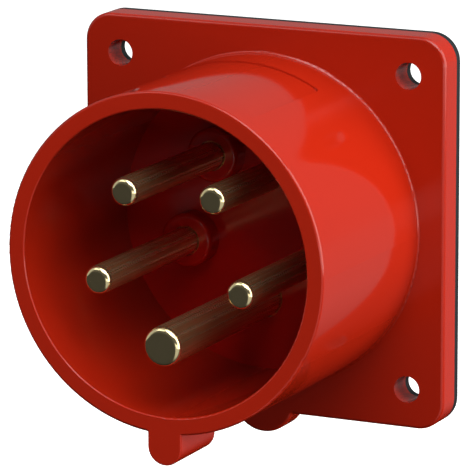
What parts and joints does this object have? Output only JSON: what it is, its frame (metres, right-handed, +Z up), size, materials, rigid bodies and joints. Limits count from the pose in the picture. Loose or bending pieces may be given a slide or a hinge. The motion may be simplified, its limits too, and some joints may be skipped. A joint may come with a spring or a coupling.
{
  "type": "pin and sleeve inlet",
  "caption": "Panel-mounted pin and sleeve inlet: square flange with gasket, round keyed shroud, brass pins on a ring with a thicker earth pin, rear screw terminals.",
  "frame": {"origin": "centre of the four flange holes on the panel's face, which is the gasket's rear face", "axes": "+Y points into the panel, away from the pins' noses; +Z up, with the earth pin at the bottom; +X to the right for someone facing the pins"},
  "size_m": [0.07, 0.0709, 0.0739],
  "materials": {
    "red_plastic": "glossy moulded, signal red",
    "carrier_plastic": "glossy moulded, signal red",
    "block_plastic": "moulded, dark grey",
    "gasket_rubber": "soft black",
    "seal_rubber": "soft black",
    "pin_brass": "turned, bright",
    "screw_steel": "zinc plated",
    "tapping_screw_steel": "zinc plated, pale yellow",
    "spring_steel": "drawn wire"
  },
  "bodies": {
    "inlet": {"housing_flange": "red_plastic", "housing_shroud": "red_plastic", "flange_gasket": "gasket_rubber", "contact_carrier": "carrier_plastic", "carrier_seal": "seal_rubber", "terminal_block": "block_plastic", "terminal_barrier": "block_plastic", "snap_ring": "spring_steel", "pin_l1": "pin_brass", "pin_l2": "pin_brass", "pin_l3": "pin_brass", "pin_neutral": "pin_brass", "pin_earth": "pin_brass", "block_screw_1": "tapping_screw_steel", "block_screw_2": "tapping_screw_steel", "block_screw_3": "tapping_screw_steel", "block_screw_4": "tapping_screw_steel"},
    "terminal_screw_l1": {"terminal_screw_l1": "screw_steel"},
    "terminal_screw_l2": {"terminal_screw_l2": "screw_steel"},
    "terminal_screw_l3": {"terminal_screw_l3": "screw_steel"},
    "terminal_screw_neutral": {"terminal_screw_neutral": "screw_steel"},
    "terminal_screw_earth": {"terminal_screw_earth": "screw_steel"}
  },
  "joints": [
    {"name": "clamp_l1", "type": "slide", "parent": "inlet", "child": "terminal_screw_l1", "axis": [0, 0, -1], "range_m": [0, 0.0022]},
    {"name": "clamp_l2", "type": "slide", "parent": "inlet", "child": "terminal_screw_l2", "axis": [0, 0, -1], "range_m": [0, 0.0022]},
    {"name": "clamp_l3", "type": "slide", "parent": "inlet", "child": "terminal_screw_l3", "axis": [1, 0, 0], "range_m": [0, 0.0022]},
    {"name": "clamp_neutral", "type": "slide", "parent": "inlet", "child": "terminal_screw_neutral", "axis": [-1, 0, 0], "range_m": [0, 0.0022]},
    {"name": "clamp_earth", "type": "slide", "parent": "inlet", "child": "terminal_screw_earth", "axis": [0, 0, 1], "range_m": [0, 0.0022]}
  ]
}
